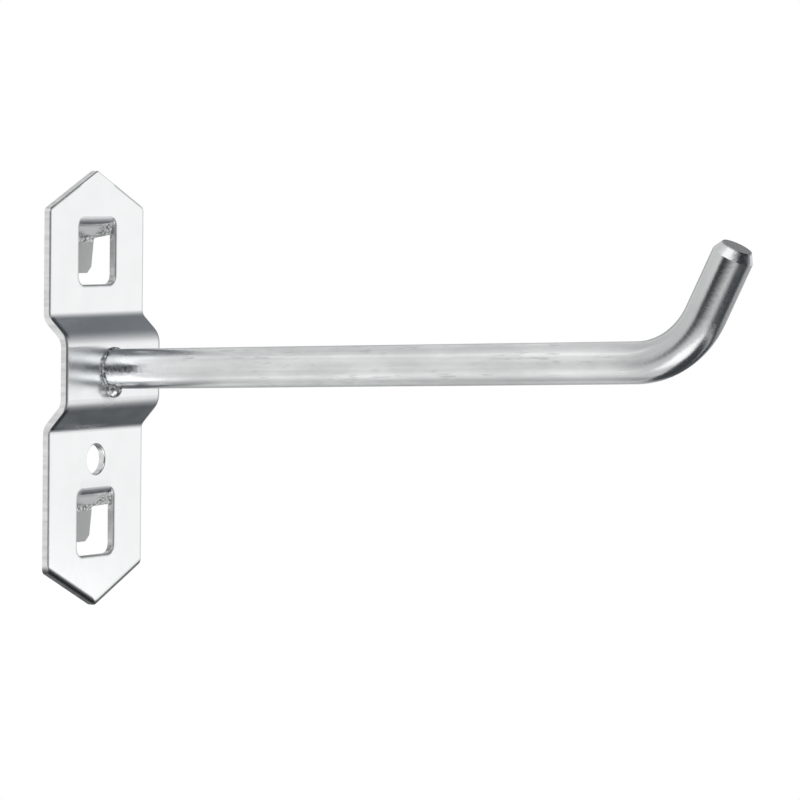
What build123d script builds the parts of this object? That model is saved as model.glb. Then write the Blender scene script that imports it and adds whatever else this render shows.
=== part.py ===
from build123d import *
from math import cos, radians, sin, tan
import os

# Hook for a square-hole tool panel: a stamped back plate, a bent round bar and the weld that joins them.
# Millimetres and degrees. The panel is the plane y = 0, the bar points along -Y and +Z is up.
# The origin is on the panel plane, level with the bar's axis at its foot.

# Back plate
sheet = 1.0  # sheet thickness
plate_width = 22.2
point_height = 5.3  # height of each pointed end
outline_radius = 0.8  # rounding of the outline's corners
edge_roll = 0.2  # soft front edges left by the punch
middle_rise = 3.0  # the raised middle stands this far in front of the pads
middle_margin = 2.05  # from the bar to the top and bottom of the raised middle
middle_drop = 0.25  # the raised middle's centre, below the bar's axis
upper_slope = 47.0  # slope over the raised middle, from the vertical
lower_slope = 42.5  # slope under it, from the vertical
pad_bend_radius = 1.3  # hollow side of the bends between pads and slopes
middle_bend_radius = 1.9  # hollow side of the bends between slopes and middle

# Hook tongues, cut from the pads and folded back through their windows
hook_pitch = 38.0  # from one panel hole to the next
hook_centre = 2.2  # midway between the two tongues, above the bar's axis
window_width = 8.6
window_height = 9.5  # from the start of the fold to the window's lower edge
window_radius = 1.35
window_lip = 0.1  # the pad's edge over the start of the fold
root_rise = 1.0  # the tongue's root, above the start of the fold
shear_gap = 0.1  # between a tongue's side and its window
panel_gap = 2.7  # room for the panel between a pad and the crease of its tongue
fold_drop = 0.85  # from the start of the fold to the corner of pad and slant
fold_radius = 0.95  # hollow side of the fold out of the pad
crease_drop = 3.15  # from the start of the fold to the crease, where the tongue turns down
crease_radius = 0.3  # hollow side of the crease
tongue_drop = 8.0  # from the start of the fold to the tongue's end
tongue_lean = 6.0  # of the tongue away from the panel
web_sheet = 0.5  # drawn webs that join the fold's sides to the window
web_drop = 2.5  # from the start of the fold to the torn edge of the webs
tongue_chamfer = 0.85  # lead-in corners of the tongue's end
shoulder_over = 1.2  # from the upper window to the start of the upper point
shoulder_under = 1.8  # from the lower window to the start of the lower point

# Screw hole
screw_diameter = 4.2
screw_height = 4.0  # above the lower window's top edge

# Bar
bar_diameter = 5.6
bar_reach = 100.0  # from the raised middle to the bar's outermost point
bar_rise = 2.5  # upward lean of the straight run
bar_bend = 61.0  # further upward bend near the free end
bar_bend_radius = 9.0  # inner side of that bend
tip_length = 16.8  # from the corner of the bar's two axes to its end
tip_chamfer_length = 1.3  # along the bar
tip_chamfer_depth = 0.75  # across the bar

# Weld
weld_width = 0.27  # round section of the collar
weld_height = 0.06  # centre of that section in front of the raised middle
drop_diameter = 2.3  # rounded drop of weld metal under the bar
drop_height = 0.65  # its centre in front of the raised middle
drop_overhang = 0.15  # its centre outside the bar's surface
drop_angle = 17.0  # round the bar, from straight below towards -X

# Heights and depths that follow from them
pad_front = -sheet
seat_front = pad_front - middle_rise
upper_hook = hook_centre + hook_pitch / 2
lower_hook = hook_centre - hook_pitch / 2
upper_shoulder = upper_hook + shoulder_over
lower_shoulder = lower_hook - window_height - shoulder_under
plate_top = upper_shoulder + point_height
plate_bottom = lower_shoulder - point_height
middle_height = bar_diameter + 2 * middle_margin
middle_top = middle_height / 2 - middle_drop
middle_bottom = -middle_height / 2 - middle_drop
upper_bend = middle_top + middle_rise / tan(radians(upper_slope))
lower_bend = middle_bottom - middle_rise / tan(radians(lower_slope))
slope_facing = cos(radians(max(upper_slope, lower_slope)))  # how far the steeper slope faces forward
bar_radius = bar_diameter / 2
seat_plane = Plane(origin=(0, seat_front, 0), z_dir=(0, -1, 0))

# One hook tongue, with z = 0 where the fold leaves the pad.
# Its root lies in the pad over the window, so that the two become one sheet, and webs close the fold's sides.
tongue_half = window_width / 2 - shear_gap
tongue_run = (tongue_drop - crease_drop) * tan(radians(tongue_lean))
tongue_depth = panel_gap + tongue_run + 2 * sheet

with BuildPart() as hook_tongue:
    with BuildSketch(Plane.YZ):
        with BuildLine():
            FilletPolyline(
                (pad_front, root_rise),
                (pad_front, -fold_drop),
                (panel_gap, -crease_drop),
                (panel_gap + tongue_run, -tongue_drop),
                radius=[fold_radius + sheet, crease_radius],
            )
            offset(amount=sheet, side=Side.LEFT)
        make_face()
    extrude(amount=tongue_half, both=True)
    with BuildSketch(Plane.XZ):
        with Locations((0, (root_rise - tongue_drop) / 2)):
            Rectangle(2 * tongue_half, root_rise + tongue_drop)
        chamfer(vertices().group_by(Axis.Y)[0], length=tongue_chamfer)
    extrude(amount=tongue_depth, both=True, mode=Mode.INTERSECT)
    for side in (-1, 1):
        with BuildSketch(Plane.YZ.offset(side * (window_width - web_sheet) / 2)):
            with BuildLine():
                Polyline(
                    (pad_front / 2, -fold_drop),
                    (panel_gap + sheet / 2, -crease_drop),
                    (pad_front / 2, -web_drop),
                    close=True,
                )
            make_face()
        extrude(amount=web_sheet / 2, both=True)

# The back plate: the sheet's side profile, cut to its outline, pierced, and joined to its two tongues.
with BuildPart() as back_plate:
    with BuildSketch(Plane.YZ):
        with BuildLine():
            FilletPolyline(
                (pad_front, plate_top),
                (pad_front, upper_bend),
                (seat_front, middle_top),
                (seat_front, middle_bottom),
                (pad_front, lower_bend),
                (pad_front, plate_bottom),
                radius=[
                    pad_bend_radius,
                    middle_bend_radius + sheet,
                    middle_bend_radius + sheet,
                    pad_bend_radius,
                ],
            )
            offset(amount=sheet, side=Side.LEFT)
        make_face()
    extrude(amount=plate_width / 2, both=True)
    with BuildSketch(Plane.XZ):
        with BuildLine():
            Polyline(
                (0, plate_top),
                (plate_width / 2, upper_shoulder),
                (plate_width / 2, lower_shoulder),
                (0, plate_bottom),
                (-plate_width / 2, lower_shoulder),
                (-plate_width / 2, upper_shoulder),
                close=True,
            )
        make_face()
        fillet(vertices(), radius=outline_radius)
    extrude(amount=-seat_front, both=True, mode=Mode.INTERSECT)
    with BuildSketch(Plane.XZ):
        for hook in (upper_hook, lower_hook):
            with Locations((0, hook - (window_lip + window_height) / 2)):
                RectangleRounded(window_width, window_height - window_lip, window_radius)
        with Locations((0, lower_hook + screw_height)):
            Circle(screw_diameter / 2)
    extrude(amount=-seat_front, both=True, mode=Mode.SUBTRACT)
    front = faces().filter_by(lambda face: face.normal_at().Y < -slope_facing / 2)
    rim = faces().filter_by(lambda face: abs(face.normal_at().Y) < slope_facing / 2)
    fillet(front.edges() & rim.edges(), radius=edge_roll)
    with Locations((0, 0, upper_hook), (0, 0, lower_hook)):
        add(hook_tongue.part)

# The bar: a round section along its bent axis, its foot cut flush with the raised middle.
tip_angle = radians(bar_rise + bar_bend)
tip_overhang = (tip_length - tip_chamfer_length) * cos(tip_angle) + bar_radius * sin(tip_angle)
corner_reach = bar_reach - tip_overhang
corner = (seat_front - corner_reach, corner_reach * tan(radians(bar_rise)))
bar_end = (corner[0] - tip_length * cos(tip_angle), corner[1] + tip_length * sin(tip_angle))
bar_start = (seat_front + bar_radius, -bar_radius * tan(radians(bar_rise)))

with BuildPart() as hook_rod:
    with BuildLine(Plane.YZ) as bar_axis:
        FilletPolyline(bar_start, corner, bar_end, radius=bar_bend_radius + bar_radius)
    with BuildSketch(Plane(bar_axis.line ^ 0)):
        Circle(bar_radius)
    sweep(path=bar_axis.line)
    split(bisect_by=seat_plane, keep=Keep.TOP)
    end_face = faces().sort_by(Axis.Z)[-1]
    chamfer(end_face.edges(), length=tip_chamfer_depth, length2=tip_chamfer_length, reference=end_face)

# The weld: a round collar about the bar's foot and a drop of metal under it, fitted to the plate and the bar.
foot_axis = Axis((0, seat_front, 0), (0, -cos(radians(bar_rise)), sin(radians(bar_rise))))
drop_reach = bar_radius + drop_overhang
drop_place = (
    -drop_reach * sin(radians(drop_angle)),
    seat_front - drop_height,
    -drop_reach * cos(radians(drop_angle)),
)

with BuildPart() as weld_bead:
    with BuildSketch(Plane.YZ):
        with Locations((seat_front - weld_height, bar_radius)):
            Circle(weld_width)
    revolve(axis=foot_axis)
    with Locations(drop_place):
        Sphere(drop_diameter / 2)
    split(bisect_by=seat_plane, keep=Keep.TOP)
    add(hook_rod.part, mode=Mode.SUBTRACT)

os.makedirs("parts", exist_ok=True)
back_plate.part.label = "back_plate"
hook_rod.part.label = "hook_rod"
weld_bead.part.label = "weld_bead"
export_step(back_plate.part, "parts/back_plate.step")
export_step(hook_rod.part, "parts/hook_rod.step")
export_step(weld_bead.part, "parts/weld_bead.step")
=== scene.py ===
import math
from types import SimpleNamespace

import bpy
from mathutils import Matrix, Vector


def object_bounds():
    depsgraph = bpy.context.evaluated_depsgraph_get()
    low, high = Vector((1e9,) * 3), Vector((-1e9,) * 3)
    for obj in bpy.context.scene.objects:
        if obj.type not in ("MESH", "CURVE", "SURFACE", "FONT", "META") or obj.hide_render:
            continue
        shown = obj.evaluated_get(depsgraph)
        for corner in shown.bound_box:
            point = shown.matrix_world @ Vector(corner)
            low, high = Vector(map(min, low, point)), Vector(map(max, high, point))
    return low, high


# Looks of a zinc-plated hook for a square-hole tool panel. Metres and degrees, in the frame of the solids:
# the panel is the plane y = 0, the bar points along -Y and +Z is up.

# Camera
CAMERA_AZIMUTH = -57.8191
CAMERA_ELEVATION = 3.0520
CAMERA_ROLL = 0.6417
CAMERA_DISTANCE = 0.60713
CAMERA_TARGET = (0.0, -0.050, 0.0)
CAMERA_SLIDE = (0.0010715, -0.0026103)  # to the right and up in the picture
CAMERA_LENS = 203.26
CAMERA_SENSOR = 36.0

# Stage
FLOOR_DROP = 0.300  # from the lowest point of the hook to the floor
FLOOR_SIZE = 0.6
FLOOR_COLOUR = (1.0, 1.0, 1.0)
WORLD_COLOUR = (1.0, 1.0, 1.0)
WORLD_STRENGTH = 1.0

# Studio flags, which are cards around the hook, from pale to dark, that fade out towards their edges:
# (name, distance, from and to azimuth, from and to elevation, fading edges at those four sides, colour).
# Azimuth is measured from the front, towards the right of the plate.
FLAG_STEP = 4.0  # degrees between the points of a flag
FLAG_FADE = 0.7  # power of the fading
FLAGS = (
    ("flag_left", 0.266, (-110.0, -26.0), (-24.0, 30.0), (10.0, 18.0, 14.0, 14.0), (0.035, 0.04, 0.045)),
    ("flag_tip", 0.262, (-24.0, 42.0), (4.0, 30.0), (10.0, 8.0, 5.0, 10.0), (0.035, 0.04, 0.045)),
    ("flag_front", 0.270, (-48.0, 44.0), (-24.0, 30.0), (18.0, 8.0, 14.0, 14.0), (0.3, 0.305, 0.31)),
    ("flag_low", 0.274, (-36.0, 118.0), (-84.0, -40.0), (26.0, 12.0, 4.0, 8.0), (0.07, 0.078, 0.085)),
    ("flag_right", 0.278, (106.0, 152.0), (-52.0, 34.0), (12.0, 14.0, 14.0, 14.0), (0.5, 0.505, 0.51)),
    ("flag_back_low", 0.282, (116.0, 212.0), (-84.0, -50.0), (16.0, 26.0, 6.0, 16.0), (0.5, 0.505, 0.51)),
    ("flag_back_high", 0.286, (116.0, 214.0), (32.0, 80.0), (16.0, 22.0, 16.0, 12.0), (0.84, 0.845, 0.85)),
    ("flag_lower_right", 2.0, (-40.0, 118.0), (-46.0, -5.8), (26.0, 12.0, 2.0, 29.0), (0.07, 0.078, 0.085)),
    ("flag_upper_right", 2.0, (-18.0, 118.0), (2.8, 84.0), (12.0, 12.0, 36.0, 8.0), (0.11, 0.122, 0.14)),
)

# Softboxes: (name, azimuth, elevation, distance, width, height, brightness added to the white around)
LAMPS = (
    ("softbox_key", -70.0, 48.0, 0.50, 0.40, 0.26, 0.6),
    ("softbox_low", -52.0, -54.0, 0.26, 0.22, 0.13, 1.0),
    ("softbox_tip", 53.0, -21.0, 0.214, 0.10, 0.06, 0.35),
    ("softbox_back_high", -139.0, 45.0, 0.42, 0.30, 0.05, 0.5),
    ("softbox_back_low", -138.0, -44.0, 0.42, 0.30, 0.05, 0.4),
)

# Plate, for the marks on its edges and folds
PLATE_HALF = 0.0111
PLATE_TOP = 0.0277
PLATE_BOTTOM = -0.0334
POINT_HEIGHT = 0.0053
POINT_SLANT = math.hypot(PLATE_HALF, POINT_HEIGHT)  # length of a slanted edge
UPPER_HOOK = 0.0212  # start of the upper fold
LOWER_HOOK = -0.0168  # start of the lower fold
WINDOW_DROP = 0.0048  # from the start of a fold to the middle of its window
WINDOW_HALF = (0.0043, 0.0047)  # across and up
WINDOW_RADIUS = 0.00135
SCREW_HEIGHT = -0.0128
SCREW_RADIUS = 0.0021
SEAT_FRONT = -0.004  # front of the raised middle
CREASE_DROP = 0.0031  # from the start of a fold to the crease of its tongue
LOWER_BEND = -0.0081  # foot of the slope under the raised middle
DROP_PLACE = (-0.0009, -0.0030)  # middle of the weld's drop, across and up

# Marks on the plate. A pair is where a fade starts and ends, three are the middle of a band and its fade.
SEAT_DEPTH = (SEAT_FRONT + 0.0003, SEAT_FRONT + 0.0008)  # the raised middle
SLOPE_DEPTH = (SEAT_FRONT + 0.0003, SEAT_FRONT + 0.0028)  # from the raised middle to the pads
LINE_START = 0.0001  # grey line along the cut edges, a painted reflection of their rolled edges, from the edge
LINE_ENDS = (0.0006, 0.00046)  # on the raised middle and on the pads
LINE_STRENGTH = 0.85
OPENING_EDGE = (-0.00012, -0.00004)  # just inside an opening, where the line ends
ROOT_OVER = (-0.0012, -0.0004)  # root of a tongue, which has no grey line
ROOT_ACROSS = (0.0036, 0.0042)
FLANK_WIDTH = (0.0005, 0.0014)  # painted dark reflections: bands at the left ends of the slopes
FLANK_STRENGTH = 0.85
CREASE_OVER = (-CREASE_DROP, 0.0003, 0.0006)  # torn skin in the creases, with painted glints and painted shade on its facets
CREASE_DEPTH = (0.0014, 0.002)
WEB_ACROSS = (0.0040, 0.0006, 0.0011)  # torn skin on the webs beside the folds
WEB_OVER = (-0.0020, 0.0010, 0.0015)
WEB_DEPTH = (-0.0008, -0.0003)
TEAR_DEPTH = 0.0002
TEAR_LEVELS = (0.45, 0.8)
# painted glints on the torn skin, as pale specks that do not shine like metal
TEAR_GLINT_LEVELS = (0.28, 0.48)
TEAR_GLINT_STRENGTH = 0.9
BEND_UP = (LOWER_BEND, 0.0001, 0.0004)  # painted glints along the lower bend
BEND_SIDE = (-0.003, 0.001, 0.006)
# painted glints along the lower bend, as pale specks that do not shine like metal
BEND_GLINT_LEVELS = (0.55, 0.66)
BEND_GLINT_STRENGTH = 0.8
BURN_REACH = (0.0008, 0.0029)  # dull patch under the weld's drop
BURN_TOP = (-0.0026, -0.002)
SEAT_DULLNESS = 0.15  # of the rest of the raised middle
TONGUE_DEPTH = (0.0014, 0.0024)  # painted shade on the tongues
POINT_MIDDLE = (-0.0008, 0.0008)  # from the left half of the lower point to its right half
POINT_SHADE = (0.0001, 0.001)  # painted dark reflection along the edge of the lower point
POINT_SHADE_STRENGTH = 0.95
# strength of the painted reflection on the right half of the lower point
POINT_SHADE_RIGHT = 0.3
ROLL_WIDTH = 0.0011  # of the soft edges of the lower point
ROLL_DEPTH = 0.00045
ROLL_RIGHT = 2.0  # how much tighter the roll is on the right half
SAG_DEPTH = 0.00016  # of the pad over the lower fold
SAG_OVER = (-0.0016, 0.0022)
SAG_FOOT = (-0.003, -0.0014)
SAG_ACROSS = (0.0030, 0.0043)
CUT_RELIEF = 0.000012  # height of the marks on the cut edges
SPECK_RELIEF = 0.000004
SEAT_RELIEF = 0.0000015
SHEET_RELIEF = 1.0  # the plate's heights are in metres

# Turns of the plate's surface, as the share of its normal along an axis, between which a mark fades
CUT_TURN = (0.1, 0.45)  # from the cut edges to the faces
SLOPE_TURN = (0.3, 0.6)  # from the upright faces to the slopes
FRONT_TURN = (0.1, 0.4)  # from the front side to the back side
BEND_TURN = (-0.3, 0.0)
REAR_TURN = (0.3, 0.6)
# painted shade on the cut edges that face down, and a little on those that face up
UNDERSIDE_TURN = (-0.8, -0.4)
TOPSIDE_TURN = (0.4, 0.8)
UNDERSIDE_SHADE = 0.85
TOPSIDE_SHADE = 0.15

# Grains of the surfaces: scale along each axis per metre, layers of detail and, in one, its roughness
SHEET_CLOUDS = ((260.0, 260.0, 200.0), 5.0)
SHEET_SPECKS = ((2600.0, 2600.0, 2600.0), 3.0)
SHEET_SHEAR = ((1500.0, 260.0, 1500.0), 4.0)
# grain of the painted glints along the lower bend
SHEET_GLINT_GRAIN = ((6500.0, 6500.0, 6500.0), 2.0)
SHEET_FACETS = 2600.0  # scale of the torn facets
BAR_BROAD = ((650.0, 9.0, 650.0), 3.0)
BAR_FINE = ((2800.0, 26.0, 2800.0), 5.0, 0.7)
BAR_CLOUDS = ((240.0, 90.0, 240.0), 4.0)
BAR_SPECKS = ((2200.0, 2200.0, 2200.0), 4.0)
BAR_DASHES = ((1700.0, 260.0, 1700.0), 2.0)
BAR_DENTED = ((330.0, 90.0, 330.0), 2.0)
WELD_LUMPS = ((1500.0, 1500.0, 1500.0), 4.0)
WELD_GRAINS = ((4200.0, 4200.0, 4200.0), 3.0)
DROP_STREAKS = ((3400.0, 900.0, 900.0), 3.0)

# Tones and roughness of the plate, in pairs where a grain mixes two
BRIGHT_TONES = ((0.905, 0.923, 0.926, 1), (0.945, 0.96, 0.963, 1))
# painted shade on the back side and the tongues
SHADED_TONES = ((0.77, 0.775, 0.77, 1), (0.85, 0.855, 0.85, 1))
CUT_TONES = ((0.5, 0.51, 0.51, 1), (0.85, 0.86, 0.85, 1))
# painted shade of the cut edges
SHADED_CUT_TONE = (0.09, 0.092, 0.095, 1)
# tones of the painted reflection along the cut edges
PAD_LINE_TONES = ((0.38, 0.39, 0.39, 1), (0.72, 0.73, 0.73, 1))
SEAT_LINE_TONE = (0.26, 0.265, 0.27, 1)
# painted glints and painted shade on the facets of the torn skin
TEAR_GLINT_TONES = ((0.97, 0.975, 0.98, 1), (0.3, 0.305, 0.31, 1))
# painted dark reflection at the left ends of the slopes
FLANK_REFLECTION_TONE = (0.1, 0.103, 0.107, 1)
# painted dark reflection along the edge of the lower point
POINT_SHADE_TONE = (0.05, 0.052, 0.055, 1)
ROUGHNESS_LEVELS = (0.3, 0.7)
SHEET_ROUGHNESS = (0.18, 0.24)
DULL_ROUGHNESS = 0.45
CUT_ROUGHNESS = (0.5, 0.3)

# Bar, for the marks that run along it
BAR_FOOT = (0.0, -0.004, 0.0)
BAR_RISE = 2.5  # upward lean of the straight run
BAR_RUN = 0.083713  # length of the straight run
BAR_BEND = 61.0  # further upward bend near the free end
BAR_BEND_RADIUS = 0.0118  # of the bar's axis
BAR_CUT = 0.10475  # along the bar, to the start of the chamfered end

# Marks on the bar. A pair is where a fade starts and ends, three are the middle of a band and its fade.
FOOT_SPAN = (0.002, 0.014)  # bright foot
SEAM_SPAN = (0.001, 0.006)  # gritty skin beside the weld
BURNISH_SPAN = (BAR_RUN - 0.004, BAR_RUN + 0.003)  # start of the burnished bend
CUT_SPAN = (BAR_CUT, BAR_CUT + 0.0002)  # start of the chamfer
END_SPAN = (BAR_CUT + 0.0012, BAR_CUT + 0.00127)  # start of the end face
FINE_SHARE = 0.45
BROAD_SHARE = 0.55
CLOUD_SHARE = 0.5
STREAK_SHARE = 0.5
DASH_LEVELS = (0.54, 0.66)
DENTED_LEVELS = (0.44, 0.6)
BAR_LEVELS = (0.35, 0.65)
FOOT_REFLECTION_HEIGHT = (-0.0001, 0.0001, 0.0011)  # painted dark reflection on the left of the foot
FOOT_REFLECTION_SPAN = (0.0025, 0.0088)
FOOT_REFLECTION_LEVELS = (0.38, 0.58)
FOOT_STRENGTH = 0.85
# painted shade in the dents
DENT_SHADE_STRENGTH = 0.4
BURNISH_STRENGTH = 0.5
DENT_RELIEF = -3.5
SPECK_GRIT = 2.0
SEAM_GRIT = 3.0
BURNISH_GRIT = 1.2
CUT_GRIT = 3.0
BAR_RELIEF = 0.000006

# Tones and roughness of the bar
BAR_TONES = ((0.57, 0.58, 0.582, 1), (0.735, 0.745, 0.745, 1))
FOOT_TONE = (0.84, 0.86, 0.875, 1)
# painted dark reflection on the left of the foot
FOOT_REFLECTION_TONE = (0.36, 0.365, 0.37, 1)
# painted shade in the dents
DENT_SHADE_TONE = (0.4, 0.41, 0.415, 1)
BURNISH_TONE = (0.38, 0.385, 0.39, 1)
CHAMFER_TONE = (0.6, 0.61, 0.615, 1)
END_TONE = (0.34, 0.345, 0.35, 1)
BAR_ROUGHNESS = (0.34, 0.27)
FOOT_POLISH = -0.12
BURNISH_POLISH = -0.1
SEAM_ROUGHNESS = 0.12
CUT_END_ROUGHNESS = 0.21

# Weld
WELD_GRID = 0.00006  # spacing of the points of its skin
WELD_LUMP = 0.0006  # size of the lumps
WELD_LIFT = 0.00018  # height of the lumps
LUMP_LEVELS = (0.38, 0.62)
DROP_TOP = (-0.0027, -0.0020)  # drop under the bar, its streaks rippled in relief and with painted reflection in their colour
DROP_STRENGTH = 0.8
STREAK_LEVELS = (0.4, 0.6)
# painted glints on the weld's grains
GLINT_GRAIN_LEVELS = (0.58, 0.66)
GRAIN_RELIEF = 0.5
STREAK_RELIEF = 0.5
WELD_RELIEF = 0.00012
# painted shade in the hollows, then the lumps
WELD_TONES = ((0.16, 0.165, 0.17, 1), (0.6, 0.61, 0.61, 1))
# painted dark and bright streaks of reflection on the drop
DROP_TONES = ((0.3, 0.305, 0.31, 1), (0.95, 0.96, 0.96, 1))
# painted glints on the weld
GLINT_GRAIN_TONE = (0.92, 0.93, 0.93, 1)
WELD_ROUGHNESS = 0.3


def plug(tree, socket, value):
    """Link a socket to another, or set its value."""
    if isinstance(value, bpy.types.NodeSocket):
        tree.links.new(value, socket)
    else:
        socket.default_value = value


def node(tree, kind, **settings):
    """Add a shader node. A setting with the name of a socket sets it, another sets a property of the node."""
    made = tree.nodes.new(kind)
    for name, value in settings.items():
        label = name.replace("_", " ").lower()
        socket = next((s for s in made.inputs if s.name.lower() == label), None)
        if socket is None:
            setattr(made, name, value)
        else:
            plug(tree, socket, value)
    return made


def calc(tree, operation, *values):
    """The result of a calculation on numbers."""
    made = node(tree, "ShaderNodeMath", operation=operation)
    for socket, value in zip(made.inputs, values):
        plug(tree, socket, value)
    return made.outputs[0]


def vector_calc(tree, operation, *values):
    """The result of a calculation on vectors."""
    made = node(tree, "ShaderNodeVectorMath", operation=operation)
    for socket, value in zip(made.inputs, values):
        plug(tree, socket, value)
    return made.outputs["Value" if operation == "DOT_PRODUCT" else "Vector"]


def remap(tree, value, from_low, from_high, to_low, to_high):
    """A smooth step of a number from one range to another."""
    made = node(tree, "ShaderNodeMapRange", interpolation_type="SMOOTHSTEP")
    for socket, item in zip(made.inputs, (value, from_low, from_high, to_low, to_high)):
        plug(tree, socket, item)
    return made.outputs[0]


def rising(tree, value, span, top=1.0):
    """A smooth step up from zero."""
    return remap(tree, value, *span, 0.0, top)


def falling(tree, value, span, top=1.0):
    """A smooth step down to zero."""
    return remap(tree, value, *span, top, 0.0)


def band(tree, value, middle, inner, outer):
    """One near the middle of a range, fading to zero."""
    distance = calc(tree, "ABSOLUTE", calc(tree, "SUBTRACT", value, middle))
    return falling(tree, distance, (inner, outer))


def blend(tree, factor, first, second):
    """The mix of two colours."""
    made = node(tree, "ShaderNodeMix", data_type="RGBA")
    plug(tree, made.inputs[0], factor)
    plug(tree, made.inputs[6], first)
    plug(tree, made.inputs[7], second)
    return made.outputs[2]


def mix_numbers(tree, factor, first, second):
    """The mix of two numbers."""
    return calc(tree, "MULTIPLY_ADD", calc(tree, "SUBTRACT", second, first), factor, first)


def product(tree, first, *others):
    """The numbers multiplied together."""
    for other in others:
        first = calc(tree, "MULTIPLY", first, other)
    return first


def add_share(tree, value, share, base):
    """A number times its share, added to a base."""
    return calc(tree, "MULTIPLY_ADD", value, share, base)


def hypotenuse(tree, first, second):
    """Longest side of a triangle with a right angle between two sides."""
    return calc(tree, "SQRT", add_share(tree, first, first, product(tree, second, second)))


def grain(tree, place, scale, detail, roughness=0.6):
    """Noise about 0.5, with its own scale along each axis."""
    stretched = vector_calc(tree, "MULTIPLY", place, scale)
    made = node(tree, "ShaderNodeTexNoise", Vector=stretched, Scale=1.0, Detail=detail, Roughness=roughness)
    return made.outputs["Fac"]


def centred(tree, texture, strength):
    """Noise about zero, faded by a mask."""
    return product(tree, calc(tree, "SUBTRACT", texture, 0.5), strength)


def split(tree, vector):
    """The three numbers of a vector."""
    made = node(tree, "ShaderNodeSeparateXYZ", Vector=vector)
    return made.outputs["X"], made.outputs["Y"], made.outputs["Z"]


def new_material(name):
    """A material without nodes."""
    material = bpy.data.materials.new(name)
    material.use_nodes = True
    material.node_tree.nodes.clear()
    return material


def close(tree, shader):
    """End a material with a shader."""
    output = node(tree, "ShaderNodeOutputMaterial")
    tree.links.new(shader.outputs[0], output.inputs["Surface"])


def metal(tree, colour, roughness, bump, bump_distance, metallic=1.0):
    """Close a material with a metal shader."""
    relief = node(tree, "ShaderNodeBump", Height=bump, Strength=1.0, Distance=bump_distance)
    shader = tree.nodes.new("ShaderNodeBsdfPrincipled")
    plug(tree, shader.inputs["Base Color"], colour)
    plug(tree, shader.inputs["Roughness"], roughness)
    plug(tree, shader.inputs["Metallic"], metallic)
    plug(tree, shader.inputs["Normal"], relief.outputs["Normal"])
    close(tree, shader)


def above_fold(tree, up):
    """Height over the start of the nearer fold."""
    upper = calc(tree, "GREATER_THAN", up, 0.0)
    return add_share(tree, upper, LOWER_HOOK - UPPER_HOOK, calc(tree, "SUBTRACT", up, LOWER_HOOK))


def over_point(tree, height, across):
    """Distance to the slanted edges of a point, at a height over its tip."""
    straight = product(tree, height, PLATE_HALF / POINT_SLANT)
    return calc(tree, "SUBTRACT", straight, product(tree, across, POINT_HEIGHT / POINT_SLANT))


def over_window(tree, across, over):
    """Distance to the rounded edge of the nearer window, below zero inside it."""
    wide = calc(tree, "SUBTRACT", across, WINDOW_HALF[0] - WINDOW_RADIUS)
    from_middle = calc(tree, "ABSOLUTE", calc(tree, "ADD", over, WINDOW_DROP))
    high = calc(tree, "SUBTRACT", from_middle, WINDOW_HALF[1] - WINDOW_RADIUS)
    corner = hypotenuse(tree, calc(tree, "MAXIMUM", wide, 0.0), calc(tree, "MAXIMUM", high, 0.0))
    inner = calc(tree, "MINIMUM", calc(tree, "MAXIMUM", wide, high), 0.0)
    return calc(tree, "SUBTRACT", calc(tree, "ADD", corner, inner), WINDOW_RADIUS)


def from_edge(tree, across, up, over):
    """Distance to the nearest cut edge of the plate, seen from the front, below zero in the openings."""
    under_top = calc(tree, "SUBTRACT", PLATE_TOP, up)
    over_bottom = calc(tree, "SUBTRACT", up, PLATE_BOTTOM)
    points = over_point(tree, calc(tree, "MINIMUM", under_top, over_bottom), across)
    outline = calc(tree, "MINIMUM", calc(tree, "SUBTRACT", PLATE_HALF, across), points)
    from_screw = hypotenuse(tree, across, calc(tree, "SUBTRACT", up, SCREW_HEIGHT))
    hole = calc(tree, "SUBTRACT", from_screw, SCREW_RADIUS)
    openings = calc(tree, "MINIMUM", over_window(tree, across, over), hole)
    return calc(tree, "MINIMUM", outline, openings)


def roll(tree, distance):
    """Depth of a soft edge at a distance from it."""
    inside = calc(tree, "SUBTRACT", 1.0, calc(tree, "DIVIDE", distance, ROLL_WIDTH))
    inside = calc(tree, "MAXIMUM", inside, 0.0)
    return product(tree, inside, inside, -ROLL_DEPTH)


def sheet_places(tree):
    """Where a spot of the plate lies, and which way it faces."""
    place = node(tree, "ShaderNodeTexCoord").outputs["Object"]
    side, back, up = split(tree, place)
    _, facing_back, facing_up = split(tree, node(tree, "ShaderNodeNewGeometry").outputs["Normal"])
    across = calc(tree, "ABSOLUTE", side)
    over = above_fold(tree, up)
    return SimpleNamespace(
        place=place,
        side=side,
        back=back,
        up=up,
        facing_back=facing_back,
        facing_up=facing_up,
        across=across,
        over=over,
        from_left=calc(tree, "ADD", side, PLATE_HALF),
        from_edge=from_edge(tree, across, up, over),
        from_point=over_point(tree, calc(tree, "SUBTRACT", up, PLATE_BOTTOM), across),
    )


def sheet_grains(tree, place):
    """The grains of the plate's skin."""
    facets = node(tree, "ShaderNodeTexVoronoi", Vector=place, Scale=SHEET_FACETS)
    return SimpleNamespace(
        clouds=grain(tree, place, *SHEET_CLOUDS),
        specks=grain(tree, place, *SHEET_SPECKS),
        shear=grain(tree, place, *SHEET_SHEAR),
        glint_grain=grain(tree, place, *SHEET_GLINT_GRAIN),
        facets=facets.outputs["Distance"],
    )


def edge_mask(tree, at, face):
    """The grey line along the cut edges of the faces, a painted reflection of their rolled edges on a duller
    band, but not over the root of a tongue.
    """
    reach = remap(tree, at.back, *SLOPE_DEPTH, *LINE_ENDS)
    near = falling(tree, at.from_edge, (LINE_START, reach))
    solid = rising(tree, at.from_edge, OPENING_EDGE)
    not_root = calc(tree, "MAXIMUM", falling(tree, at.over, ROOT_OVER), rising(tree, at.across, ROOT_ACROSS))
    return product(tree, near, face, solid, not_root)


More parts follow.
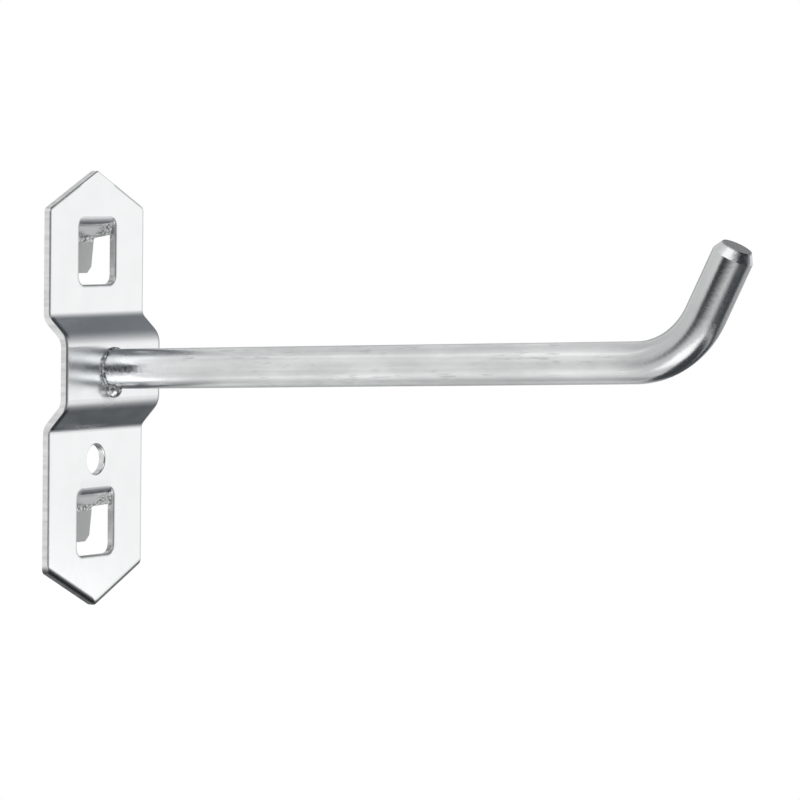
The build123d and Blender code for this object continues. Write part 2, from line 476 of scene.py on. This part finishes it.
def torn_mask(tree, at, ahead):
    """The torn skin in the creases of the tongues and on the webs beside them."""
    crease = product(tree, band(tree, at.over, *CREASE_OVER), rising(tree, at.back, CREASE_DEPTH))
    web_area = product(tree, band(tree, at.across, *WEB_ACROSS), band(tree, at.over, *WEB_OVER))
    web = product(tree, web_area, rising(tree, at.back, WEB_DEPTH))
    return product(tree, calc(tree, "MAXIMUM", crease, web), ahead)


def burn_mask(tree, at):
    """The dull patch under the weld's drop."""
    drop_across = calc(tree, "SUBTRACT", at.side, DROP_PLACE[0])
    drop_up = calc(tree, "SUBTRACT", at.up, DROP_PLACE[1])
    from_drop = hypotenuse(tree, drop_across, drop_up)
    return product(tree, falling(tree, from_drop, BURN_REACH), falling(tree, at.up, BURN_TOP))


def sheet_masks(tree, at):
    """Where the plate has its marks, from zero to one."""
    rim = falling(tree, calc(tree, "ABSOLUTE", at.facing_back), CUT_TURN)
    face = calc(tree, "SUBTRACT", 1.0, rim)
    ahead = falling(tree, at.facing_back, FRONT_TURN)
    seat = falling(tree, at.back, SEAT_DEPTH)
    edge = edge_mask(tree, at, face)
    sloped = rising(tree, calc(tree, "ABSOLUTE", at.facing_up), SLOPE_TURN, FLANK_STRENGTH)
    bend_area = product(tree, band(tree, at.up, *BEND_UP), band(tree, at.side, *BEND_SIDE))
    seat_dull = product(tree, seat, calc(tree, "MAXIMUM", burn_mask(tree, at), SEAT_DULLNESS))
    # painted dark reflection along the lower point, stronger on its left half
    left = remap(tree, at.side, *POINT_MIDDLE, 1.0, POINT_SHADE_RIGHT)
    point_edge = falling(tree, at.from_point, POINT_SHADE, POINT_SHADE_STRENGTH)
    return SimpleNamespace(
        rim=rim,
        face=face,
        seat=seat,
        edge=edge,
        # painted dark reflection at the left ends of the slopes
        flank=product(tree, falling(tree, at.from_left, FLANK_WIDTH), sloped, face),
        torn=torn_mask(tree, at, ahead),
        bend=product(tree, bend_area, falling(tree, at.facing_back, BEND_TURN)),
        dull=calc(tree, "MAXIMUM", edge, seat_dull),
        point=product(tree, point_edge, left, ahead),
    )


def cut_colour(tree, at, grains):
    """Tone of the cut edges, with painted shade where they face down and a little painted shade where they
    face up.
    """
    tone = blend(tree, grains.shear, *CUT_TONES)
    underside = falling(tree, at.facing_up, UNDERSIDE_TURN, UNDERSIDE_SHADE)
    topside = rising(tree, at.facing_up, TOPSIDE_TURN, TOPSIDE_SHADE)
    return blend(tree, calc(tree, "MAXIMUM", underside, topside), tone, SHADED_CUT_TONE)


def sheet_colour(tree, at, mask, grains):
    """Tone of the plate with all its marks, and with its painted shade, reflections and glints."""
    bright = blend(tree, grains.clouds, *BRIGHT_TONES)
    # painted shade on the back side and the tongues
    dull = blend(tree, grains.clouds, *SHADED_TONES)
    tongue = rising(tree, at.back, TONGUE_DEPTH)
    rear = calc(tree, "MAXIMUM", tongue, rising(tree, at.facing_back, REAR_TURN))
    plain = blend(tree, rear, bright, dull)
    # painted reflection along the cut edges
    line = blend(tree, mask.seat, blend(tree, grains.shear, *PAD_LINE_TONES), SEAT_LINE_TONE)
    lined = blend(tree, product(tree, mask.edge, LINE_STRENGTH), plain, line)
    # painted dark reflection at the left ends of the slopes
    flank_reflected = blend(tree, mask.flank, lined, FLANK_REFLECTION_TONE)
    # torn skin, with painted glints and painted shade on its facets
    tears = blend(tree, rising(tree, grains.facets, TEAR_LEVELS), *TEAR_GLINT_TONES)
    ragged = blend(tree, mask.torn, flank_reflected, tears)
    whole = blend(tree, mask.rim, ragged, cut_colour(tree, at, grains))
    # painted dark reflection along the edge of the lower point
    return blend(tree, mask.point, whole, POINT_SHADE_TONE)


def sheet_roughness(tree, mask, grains):
    """Roughness of the plate, with satin marks and rough cut edges."""
    plain = remap(tree, grains.clouds, *ROUGHNESS_LEVELS, *SHEET_ROUGHNESS)
    satin = mix_numbers(tree, mask.dull, plain, DULL_ROUGHNESS)
    cut = remap(tree, grains.shear, *ROUGHNESS_LEVELS, *CUT_ROUGHNESS)
    return mix_numbers(tree, mask.rim, satin, cut)


def sheet_relief(tree, at, mask, grains):
    """Height of the plate's skin: the soft lower point, the sag over the lower fold and the grains."""
    tighter = remap(tree, at.side, *POINT_MIDDLE, 1.0, ROLL_RIGHT)
    point = roll(tree, product(tree, at.from_point, tighter))
    sunk = falling(tree, at.over, SAG_OVER)
    shallow = product(tree, sunk, sunk, rising(tree, at.over, SAG_FOOT, -SAG_DEPTH))
    lower = calc(tree, "LESS_THAN", at.up, 0.0)
    sag = product(tree, shallow, lower, falling(tree, at.across, SAG_ACROSS))
    specks = product(tree, grains.specks, SPECK_RELIEF)
    skin = add_share(tree, grains.shear, product(tree, mask.rim, CUT_RELIEF), specks)
    skin = add_share(tree, centred(tree, grains.specks, mask.seat), SEAT_RELIEF, skin)
    skin = add_share(tree, centred(tree, grains.facets, mask.torn), TEAR_DEPTH, skin)
    return add_share(tree, calc(tree, "ADD", point, sag), mask.face, skin)


def sheet_painted_glints(tree, mask, grains):
    """Painted glints: pale grains on the tears and along the lower bend, which do not shine like metal."""
    tears = product(tree, mask.torn, falling(tree, grains.facets, TEAR_GLINT_LEVELS, TEAR_GLINT_STRENGTH))
    bend = product(tree, mask.bend, rising(tree, grains.glint_grain, BEND_GLINT_LEVELS, BEND_GLINT_STRENGTH))
    return calc(tree, "MAXIMUM", tears, bend)


def sheet_material():
    """Bright zinc plate on a smooth sheet, with grey cut edges, torn folds and a dull patch at the weld, and
    with painted shade, reflections and glints on its edges, folds, back, tongues and lower point.
    """
    material = new_material("plated_sheet")
    tree = material.node_tree
    at = sheet_places(tree)
    grains = sheet_grains(tree, at.place)
    mask = sheet_masks(tree, at)
    colour = sheet_colour(tree, at, mask, grains)
    roughness = sheet_roughness(tree, mask, grains)
    relief = sheet_relief(tree, at, mask, grains)
    # painted glints: pale specks that are not metal
    metallic = calc(tree, "SUBTRACT", 1.0, sheet_painted_glints(tree, mask, grains))
    metal(tree, colour, roughness, relief, SHEET_RELIEF, metallic)
    return material


def along_bar(tree, place):
    """The place on the bar as if it were straight, and its length from the bar's foot."""
    rise = math.radians(BAR_RISE)
    bend = math.radians(BAR_BEND)
    from_foot = vector_calc(tree, "SUBTRACT", place, BAR_FOOT)
    across = split(tree, from_foot)[0]
    ahead = vector_calc(tree, "DOT_PRODUCT", from_foot, (0.0, -math.cos(rise), math.sin(rise)))
    over = vector_calc(tree, "DOT_PRODUCT", from_foot, (0.0, math.sin(rise), math.cos(rise)))
    past = calc(tree, "SUBTRACT", ahead, BAR_RUN)
    below = calc(tree, "SUBTRACT", BAR_BEND_RADIUS, over)
    turned = calc(tree, "MINIMUM", calc(tree, "MAXIMUM", calc(tree, "ARCTAN2", past, below), 0.0), bend)
    cosine = calc(tree, "COSINE", turned)
    sine = calc(tree, "SINE", turned)
    left_over = calc(tree, "SUBTRACT", product(tree, past, cosine), product(tree, below, sine))
    depth = calc(tree, "ADD", product(tree, past, sine), product(tree, below, cosine))
    arc = add_share(tree, turned, BAR_BEND_RADIUS, BAR_RUN)
    length = calc(tree, "ADD", arc, left_over)
    height = calc(tree, "SUBTRACT", BAR_BEND_RADIUS, depth)
    straight = node(tree, "ShaderNodeCombineXYZ", X=across, Y=length, Z=height).outputs[0]
    return straight, length


def bar_masks(tree, straight, length, specks):
    """Where the bar has its marks, from zero to one."""
    across, _, height = split(tree, straight)
    foot = falling(tree, length, FOOT_SPAN)
    burnish = rising(tree, length, BURNISH_SPAN)
    dashes = rising(tree, grain(tree, straight, *BAR_DASHES), DASH_LEVELS)
    dented = rising(tree, grain(tree, straight, *BAR_DENTED), DENTED_LEVELS)
    plain = product(tree, calc(tree, "SUBTRACT", 1.0, burnish), calc(tree, "SUBTRACT", 1.0, foot))
    leftmost = product(tree, calc(tree, "LESS_THAN", across, 0.0), band(tree, height, *FOOT_REFLECTION_HEIGHT))
    patchy = falling(tree, specks, FOOT_REFLECTION_LEVELS)
    return SimpleNamespace(
        foot=foot,
        seam=falling(tree, length, SEAM_SPAN),
        burnish=burnish,
        cut=rising(tree, length, CUT_SPAN),
        end=rising(tree, length, END_SPAN),
        dents=product(tree, dashes, dented, plain),
        # painted dark reflection on the left of the foot
        foot_reflection=product(tree, leftmost, falling(tree, length, FOOT_REFLECTION_SPAN), patchy),
    )


def bar_colour(tree, mask, tone):
    """Tone of the bar with all its marks, with painted shade in the dents and a painted dark reflection
    beside the foot.
    """
    body = blend(tree, rising(tree, tone, BAR_LEVELS), *BAR_TONES)
    bright = blend(tree, product(tree, mask.foot, FOOT_STRENGTH), body, FOOT_TONE)
    # painted dark reflection on the left of the foot
    foot_reflected = blend(tree, mask.foot_reflection, bright, FOOT_REFLECTION_TONE)
    # painted shade in the dents
    dent_shaded = blend(tree, product(tree, mask.dents, DENT_SHADE_STRENGTH), foot_reflected, DENT_SHADE_TONE)
    # greyer tone in the bend and the tip
    bend_greyed = blend(tree, product(tree, mask.burnish, BURNISH_STRENGTH), dent_shaded, BURNISH_TONE)
    return blend(tree, mask.cut, bend_greyed, blend(tree, mask.end, CHAMFER_TONE, END_TONE))


def bar_roughness(tree, mask, tone):
    """Roughness of the bar, smoother at its foot and in the bend."""
    satin = remap(tree, tone, *BAR_LEVELS, *BAR_ROUGHNESS)
    polished = add_share(tree, mask.foot, FOOT_POLISH, add_share(tree, mask.burnish, BURNISH_POLISH, satin))
    seamed = add_share(tree, mask.seam, SEAM_ROUGHNESS, polished)
    return mix_numbers(tree, mask.cut, seamed, CUT_END_ROUGHNESS)


def bar_relief(tree, mask, streaks, specks):
    """Height of the bar's skin: the drawing marks, the dents and the grit."""
    drawn = add_share(tree, mask.dents, DENT_RELIEF, streaks)
    seam = product(tree, mask.seam, SEAM_GRIT)
    gritty = calc(tree, "MAXIMUM", seam, product(tree, mask.burnish, BURNISH_GRIT))
    gritty = calc(tree, "MAXIMUM", gritty, product(tree, mask.cut, CUT_GRIT))
    return add_share(tree, centred(tree, specks, gritty), SPECK_GRIT, drawn)


def bar_material():
    """Satin zinc plate with marks and dents along the bar, bright at its foot and burnished in the bend, with
    painted shade in the dents and a painted dark reflection on the left of the foot.
    """
    material = new_material("plated_bar")
    tree = material.node_tree
    place = node(tree, "ShaderNodeTexCoord").outputs["Object"]
    straight, length = along_bar(tree, place)
    broad = grain(tree, straight, *BAR_BROAD)
    fine = grain(tree, straight, *BAR_FINE)
    clouds = grain(tree, straight, *BAR_CLOUDS)
    specks = grain(tree, place, *BAR_SPECKS)
    streaks = add_share(tree, fine, FINE_SHARE, product(tree, broad, BROAD_SHARE))
    tone = add_share(tree, clouds, CLOUD_SHARE, product(tree, streaks, STREAK_SHARE))
    mask = bar_masks(tree, straight, length, specks)
    colour = bar_colour(tree, mask, tone)
    roughness = bar_roughness(tree, mask, tone)
    relief = bar_relief(tree, mask, streaks, specks)
    metal(tree, colour, roughness, relief, BAR_RELIEF)
    return material


def weld_material():
    """Rough zinc plated weld, with painted shade in its hollows, painted glints on bright grains and a
    streaked drop with painted reflection in its streaks.
    """
    material = new_material("plated_weld")
    tree = material.node_tree
    place = node(tree, "ShaderNodeTexCoord").outputs["Object"]
    up = split(tree, place)[2]
    lumps = grain(tree, place, *WELD_LUMPS)
    grains = grain(tree, place, *WELD_GRAINS)
    streaks = grain(tree, place, *DROP_STREAKS)
    drop = falling(tree, up, DROP_TOP, DROP_STRENGTH)
    # painted shade in the hollows of the weld
    skin = blend(tree, rising(tree, lumps, LUMP_LEVELS), *WELD_TONES)
    # painted streaks of reflection on the drop
    streaked = blend(tree, rising(tree, streaks, STREAK_LEVELS), *DROP_TONES)
    with_drop = blend(tree, drop, skin, streaked)
    # painted glints on bright grains
    colour = blend(tree, rising(tree, grains, GLINT_GRAIN_LEVELS), with_drop, GLINT_GRAIN_TONE)
    lumpy = add_share(tree, grains, GRAIN_RELIEF, lumps)
    relief = mix_numbers(tree, drop, lumpy, product(tree, streaks, STREAK_RELIEF))
    metal(tree, colour, WELD_ROUGHNESS, relief, WELD_RELIEF)
    return material


def roughen(weld):
    """Give the weld an uneven skin."""
    grid = weld.modifiers.new("grid", "REMESH")
    grid.mode = "VOXEL"
    grid.voxel_size = WELD_GRID
    lumps = bpy.data.textures.new("weld_lumps", "CLOUDS")
    lumps.noise_scale = WELD_LUMP
    lift = weld.modifiers.new("lumps", "DISPLACE")
    lift.texture = lumps
    lift.texture_coords = "LOCAL"
    lift.mid_level = 0.5
    lift.strength = WELD_LIFT


def direction(azimuth, elevation):
    """Unit vector from the hook towards a point of the studio."""
    a = math.radians(azimuth)
    e = math.radians(elevation)
    return Vector((math.sin(a) * math.cos(e), -math.cos(a) * math.cos(e), math.sin(e)))


def add_object(name, data):
    """A new object in the scene."""
    made = bpy.data.objects.new(name, data)
    bpy.context.scene.collection.objects.link(made)
    return made


def floor_material():
    """Plain matt white."""
    material = new_material("floor")
    tree = material.node_tree
    close(tree, node(tree, "ShaderNodeBsdfDiffuse", Color=(*FLOOR_COLOUR, 1)))
    return material


def add_floor(height):
    """The floor below the hook."""
    mesh = bpy.data.meshes.new("floor")
    half = FLOOR_SIZE / 2
    corners = [(-half, -half, 0), (half, -half, 0), (half, half, 0), (-half, half, 0)]
    mesh.from_pydata(corners, [], [(0, 1, 2, 3)])
    floor = add_object("floor", mesh)
    floor.location = (0, 0, height)
    mesh.materials.append(floor_material())


def flag_material(name, wide, high, fading, colour):
    """A plain card that fades out towards its edges."""
    material = new_material(name)
    tree = material.node_tree
    u, v, _ = split(tree, node(tree, "ShaderNodeUVMap", uv_map="card").outputs["UV"])
    inside = (u, calc(tree, "SUBTRACT", wide, u), v, calc(tree, "SUBTRACT", high, v))
    cover = 1.0
    for distance, width in zip(inside, fading):
        part = calc(tree, "MINIMUM", calc(tree, "DIVIDE", distance, width), 1.0)
        cover = product(tree, calc(tree, "POWER", part, FLAG_FADE), cover)
    card = node(tree, "ShaderNodeEmission", Color=(*colour, 1), Strength=1.0)
    clear = node(tree, "ShaderNodeBsdfTransparent")
    mix = tree.nodes.new("ShaderNodeMixShader")
    plug(tree, mix.inputs[0], cover)
    plug(tree, mix.inputs[1], clear.outputs[0])
    plug(tree, mix.inputs[2], card.outputs[0])
    close(tree, mix)
    return material


def add_flag(name, distance, azimuths, elevations, fading, colour, centre):
    """A curved card that only shows in reflections."""
    wide = azimuths[1] - azimuths[0]
    high = elevations[1] - elevations[0]
    across = round(wide / FLAG_STEP) + 1
    along = round(high / FLAG_STEP) + 1
    spots = [(wide * i / (across - 1), high * j / (along - 1)) for i in range(across) for j in range(along)]
    points = [centre + direction(azimuths[0] + u, elevations[0] + v) * distance for u, v in spots]
    corners = [(i * along + j, (i + 1) * along + j) for i in range(across - 1) for j in range(along - 1)]
    mesh = bpy.data.meshes.new(name)
    mesh.from_pydata(points, [], [(a, b, b + 1, a + 1) for a, b in corners])
    layer = mesh.uv_layers.new(name="card")
    for loop in mesh.loops:
        layer.data[loop.index].uv = spots[loop.vertex_index]
    flag = add_object(name, mesh)
    flag.visible_camera = False
    flag.visible_diffuse = False
    flag.visible_shadow = False
    mesh.materials.append(flag_material(name, wide, high, fading, colour))


def add_lamp(name, azimuth, elevation, distance, width, height, brightness, centre):
    """A softbox that faces the hook."""
    data = bpy.data.lights.new(name, "AREA")
    data.shape = "RECTANGLE"
    data.size = width
    data.size_y = height
    data.energy = brightness * math.pi * width * height
    lamp = add_object(name, data)
    towards = direction(azimuth, elevation)
    turn = towards.to_track_quat("Z", "Y").to_matrix().to_4x4()
    lamp.matrix_world = Matrix.Translation(centre + towards * distance) @ turn


def add_world():
    """The white all around."""
    world = bpy.data.worlds.new("studio")
    bpy.context.scene.world = world
    world.use_nodes = True
    background = world.node_tree.nodes["Background"]
    background.inputs["Color"].default_value = (*WORLD_COLOUR, 1)
    background.inputs["Strength"].default_value = WORLD_STRENGTH


def add_camera():
    """The camera, with its roll and slide."""
    data = bpy.data.cameras.new("camera")
    data.sensor_width = CAMERA_SENSOR
    data.lens = CAMERA_LENS
    camera = add_object("camera", data)
    back = direction(CAMERA_AZIMUTH, CAMERA_ELEVATION)
    level = Vector((0, 0, 1)).cross(back).normalized()
    rise = back.cross(level)
    tilt = math.radians(CAMERA_ROLL)
    right = level * math.cos(tilt) + rise * math.sin(tilt)
    up = rise * math.cos(tilt) - level * math.sin(tilt)
    place = Vector(CAMERA_TARGET) + right * CAMERA_SLIDE[0] + up * CAMERA_SLIDE[1] + back * CAMERA_DISTANCE
    turn = Matrix((right, up, back)).transposed()
    camera.matrix_world = Matrix.Translation(place) @ turn.to_4x4()
    bpy.context.scene.camera = camera


def dress(piece, material):
    """Give a piece its only material."""
    piece.data.materials.clear()
    piece.data.materials.append(material)


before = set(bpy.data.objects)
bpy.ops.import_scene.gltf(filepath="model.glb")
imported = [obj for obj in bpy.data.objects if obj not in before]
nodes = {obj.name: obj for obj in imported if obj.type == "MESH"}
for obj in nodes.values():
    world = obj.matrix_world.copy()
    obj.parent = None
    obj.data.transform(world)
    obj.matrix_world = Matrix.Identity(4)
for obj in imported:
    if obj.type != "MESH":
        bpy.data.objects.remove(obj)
cad_low, cad_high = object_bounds()
bpy.context.scene.view_settings.view_transform = "Standard"

dress(nodes["back_plate"], sheet_material())
dress(nodes["hook_rod"], bar_material())
dress(nodes["weld_bead"], weld_material())
roughen(nodes["weld_bead"])

centre = (cad_low + cad_high) / 2
add_world()
add_floor(cad_low.z - FLOOR_DROP)
for flag in FLAGS:
    add_flag(*flag, centre=centre)
for lamp in LAMPS:
    add_lamp(*lamp, centre=centre)
add_camera()
